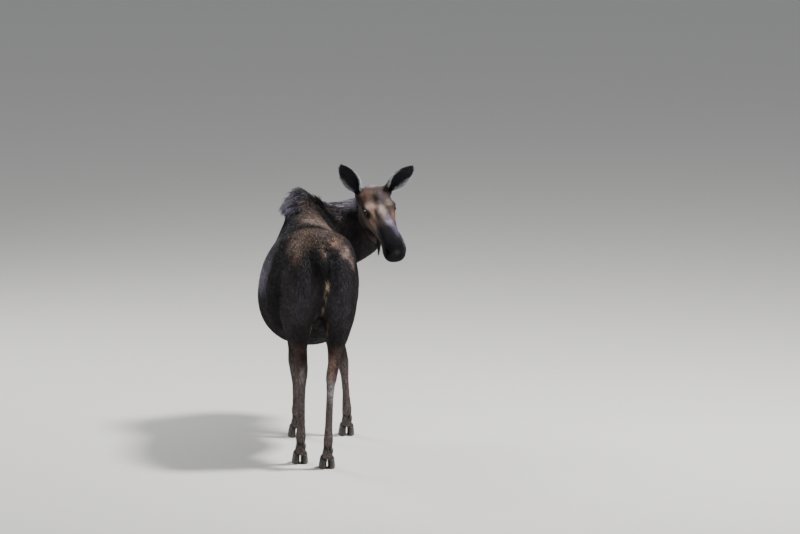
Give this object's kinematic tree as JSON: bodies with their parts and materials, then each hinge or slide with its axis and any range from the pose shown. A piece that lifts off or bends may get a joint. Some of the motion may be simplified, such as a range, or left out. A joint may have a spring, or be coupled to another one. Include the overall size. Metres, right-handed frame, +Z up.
{
  "type": "moose",
  "caption": "Life-size still model of a cow moose in short summer coat, standing and looking back over her shoulder.",
  "frame": {"origin": "on the floor, midway between the model's outermost points", "axes": "+Z up; she faces -Y, with her left side towards +X; her head is turned back towards +Y over her right side"},
  "size_m": [1.1728, 1.887, 1.9217],
  "materials": {
    "dark_coat": "short dark brown summer hair, coarse and longer on the hump",
    "face_coat": "very short tan and grey-brown hair",
    "leg_coat": "short pale grey-brown hair",
    "eye": "wet dark brown, clear and glossy",
    "horn": "worn dark hoof horn, half matt"
  },
  "bodies": {
    "root": {"hindquarters": "dark_coat", "barrel": "dark_coat", "chest": "dark_coat", "neck_base": "dark_coat", "neck_top": "dark_coat", "tail": "dark_coat", "bell": "dark_coat", "head": "face_coat", "jaw": "face_coat", "ear_left": "face_coat", "ear_right": "face_coat", "eye_left": "eye", "eye_right": "eye", "hind_left_upper": "dark_coat", "hind_left_lower": "leg_coat", "hind_left_claw_left": "horn", "hind_left_dewclaw_left": "horn", "hind_left_claw_right": "horn", "hind_left_dewclaw_right": "horn", "hind_right_upper": "dark_coat", "hind_right_lower": "leg_coat", "hind_right_claw_left": "horn", "hind_right_dewclaw_left": "horn", "hind_right_claw_right": "horn", "hind_right_dewclaw_right": "horn", "fore_left_upper": "dark_coat", "fore_left_lower": "leg_coat", "fore_left_claw_left": "horn", "fore_left_dewclaw_left": "horn", "fore_left_claw_right": "horn", "fore_left_dewclaw_right": "horn", "fore_right_upper": "dark_coat", "fore_right_lower": "leg_coat", "fore_right_claw_left": "horn", "fore_right_dewclaw_left": "horn", "fore_right_claw_right": "horn", "fore_right_dewclaw_right": "horn"}
  },
  "joints": []
}
